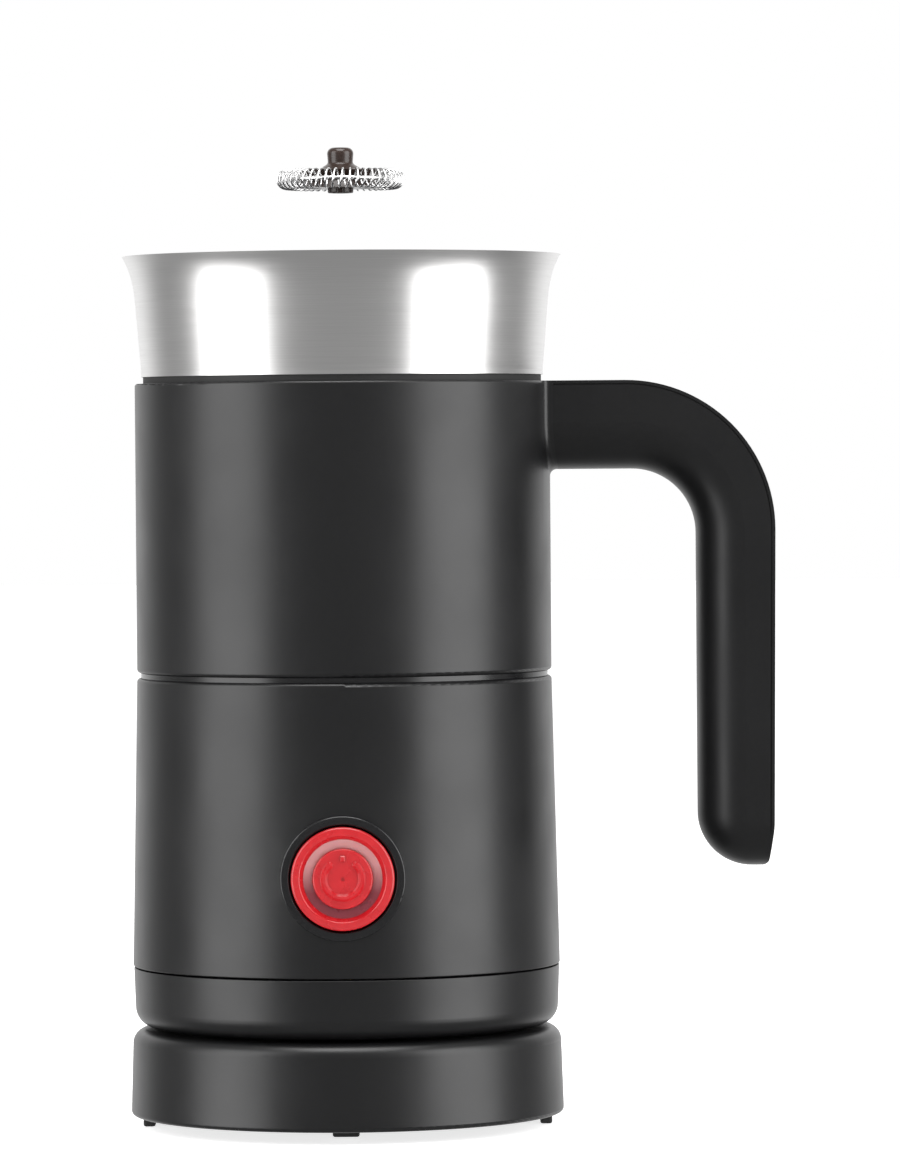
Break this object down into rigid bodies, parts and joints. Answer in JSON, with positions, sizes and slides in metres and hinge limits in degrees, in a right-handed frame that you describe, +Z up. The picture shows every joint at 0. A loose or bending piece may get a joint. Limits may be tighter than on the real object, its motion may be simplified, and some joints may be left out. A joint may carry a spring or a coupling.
{
  "type": "electric milk frother",
  "caption": "Cordless jug-shaped milk frother with steel collar, hooked handle, round front push button, power base and lift-out spring whisk.",
  "frame": {"origin": "on the jug's vertical axis, in the plane of the feet", "axes": "+Z up along the jug's axis, -Y the front with the start button, +X towards the handle"},
  "size_m": [0.1472, 0.1001, 0.2216],
  "materials": {
    "shell_black": "fine satin moulded plastic",
    "handle_black": "soft satin moulded plastic",
    "trim_black": "semi-gloss black plastic",
    "seal_rubber": "dark silicone seal",
    "foot_rubber": "matt rubber",
    "collar_steel": "fine circumferential brushing",
    "jug_lining": "dark non-stick coating on steel",
    "spindle_steel": "polished pin",
    "button_red": "satin-gloss red",
    "light_ring": "milky translucent",
    "hub_brown": "dark brown moulded plastic",
    "whisk_wire": "polished stainless wire",
    "sleeve_white": "low-friction sleeve",
    "connector_black": "glass-filled nylon",
    "contact_brass": "plated contact",
    "terminal_cream": "terminal block",
    "heater_alloy": "machined alloy",
    "element_sheath": "heat-tinted sheath",
    "inner_steel": "plain pressed steel",
    "screw_steel": "zinc plated",
    "bush_bronze": "sintered bronze",
    "motor_cap_white": "moulded end cap",
    "magnet_nickel": "nickel plated magnet",
    "board_green": "solder mask",
    "part_black": "component moulding",
    "capacitor_sleeve": "shrink sleeve",
    "fuse_ceramic": "ceramic body",
    "lamp_clear": "clear lens"
  },
  "bodies": {
    "power_base": {"base_shell": "shell_black", "base_plate": "shell_black", "base_foot_front": "foot_rubber", "base_foot_rear": "foot_rubber", "base_foot_left": "foot_rubber", "base_foot_right": "foot_rubber", "cord_gland": "trim_black", "terminal_block": "terminal_cream", "base_connector": "connector_black", "base_contact_tube": "contact_brass", "base_contact_ring": "contact_brass", "base_screws": "screw_steel"},
    "swivel": {"swivel_ring": "connector_black"},
    "jug_body": {"body_skirt": "shell_black", "coupler_socket": "connector_black", "coupler_pin": "contact_brass", "coupler_ring": "contact_brass", "lower_casing": "shell_black", "casing_ring": "trim_black", "heater_plate": "heater_alloy", "heating_element": "element_sheath", "thermostat": "part_black", "thermal_fuse": "fuse_ceramic", "heat_shield": "inner_steel", "chassis": "connector_black", "motor_can": "inner_steel", "motor_end_cap": "motor_cap_white", "motor_bush": "bush_bronze", "motor_mount": "inner_steel", "control_board": "board_green", "capacitor": "capacitor_sleeve", "relay": "part_black", "button_bezel": "trim_black", "button_spring": "screw_steel", "front_board": "board_green", "tactile_switch": "part_black", "steel_collar": "collar_steel", "jug_liner": "jug_lining", "whisk_spindle": "spindle_steel", "collar_gasket": "seal_rubber", "upper_casing": "shell_black", "handle_grip": "handle_black", "handle_cover": "handle_black", "body_screws": "screw_steel", "motor_screws": "screw_steel", "board_screws": "screw_steel", "status_leds": "lamp_clear", "handle_screws": "screw_steel"},
    "start_button": {"button_cap": "button_red", "button_light_ring": "light_ring", "button_plunger": "connector_black"},
    "drive_rotor": {"motor_shaft": "screw_steel", "magnet_carrier": "connector_black", "drive_magnets": "magnet_nickel"},
    "whisk_carrier": {"whisk_bush": "sleeve_white"},
    "whisk_rotor": {"whisk_hub": "hub_brown", "whisk_core_ring": "whisk_wire", "whisk_coil": "whisk_wire", "whisk_magnets": "magnet_nickel"}
  },
  "joints": [
    {"name": "swivel_turn", "type": "hinge", "parent": "power_base", "child": "swivel", "pos_m": [0, 0, 0.0226], "axis": [0, 0, 1], "continuous": true},
    {"name": "jug_lift", "type": "slide", "parent": "swivel", "child": "jug_body", "axis": [0, 0, 1], "range_m": [0, 0.06]},
    {"name": "button_press", "type": "slide", "parent": "jug_body", "child": "start_button", "axis": [0, 1, 0], "range_m": [0, 0.0012], "stiffness_N_per_m": 900, "springref_m": -0.001, "deforming": ["button_spring"]},
    {"name": "motor_spin", "type": "hinge", "parent": "jug_body", "child": "drive_rotor", "pos_m": [0, 0, 0.083], "axis": [0, 0, 1], "continuous": true},
    {"name": "whisk_lift", "type": "slide", "parent": "jug_body", "child": "whisk_carrier", "axis": [0, 0, 1], "range_m": [-0.106, 0]},
    {"name": "whisk_spin", "type": "hinge", "parent": "whisk_carrier", "child": "whisk_rotor", "pos_m": [0, 0, 0.2144], "axis": [0, 0, 1], "continuous": true}
  ],
  "couplings": [
    {"joint": "whisk_spin", "follows": "motor_spin", "ratio": 1}
  ]
}
